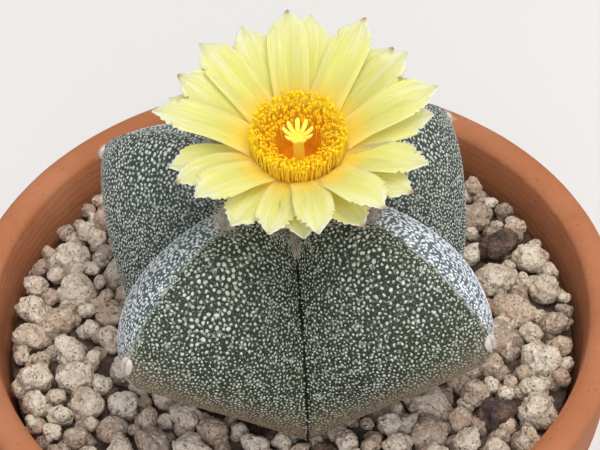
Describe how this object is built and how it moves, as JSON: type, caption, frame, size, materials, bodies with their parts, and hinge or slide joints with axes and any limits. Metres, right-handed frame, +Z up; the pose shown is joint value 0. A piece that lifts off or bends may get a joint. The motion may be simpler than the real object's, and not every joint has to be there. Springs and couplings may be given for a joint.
{
  "type": "potted bishops cap cactus",
  "caption": "Star-shaped ribbed cactus with an open flower, planted in a round clay pot with a collar and dressed with pumice pebbles.",
  "frame": {"origin": "middle of the pot's underside, on the surface it stands on", "axes": "+Z up along the pot's axis; -Y towards the side the flower leans to; +X to the right seen from there"},
  "size_m": [0.1504, 0.1504, 0.1607],
  "materials": {
    "terracotta": "matte unglazed fired clay",
    "potting_mix": "rough mineral potting mix",
    "pumice": "rough pitted pumice",
    "cactus_skin": "matte green skin with white flecks",
    "flower_tube": "scaly green-brown tube with wool",
    "petal": "satin thin yellow petal",
    "stamen": "powdery golden anthers",
    "pistil": "satin pale yellow"
  },
  "bodies": {
    "root": {"pot": "terracotta", "soil": "potting_mix", "gravel": "pumice", "cactus_body": "cactus_skin", "flower_tube": "flower_tube", "petals": "petal", "stamens": "stamen", "pistil": "pistil"}
  },
  "joints": []
}
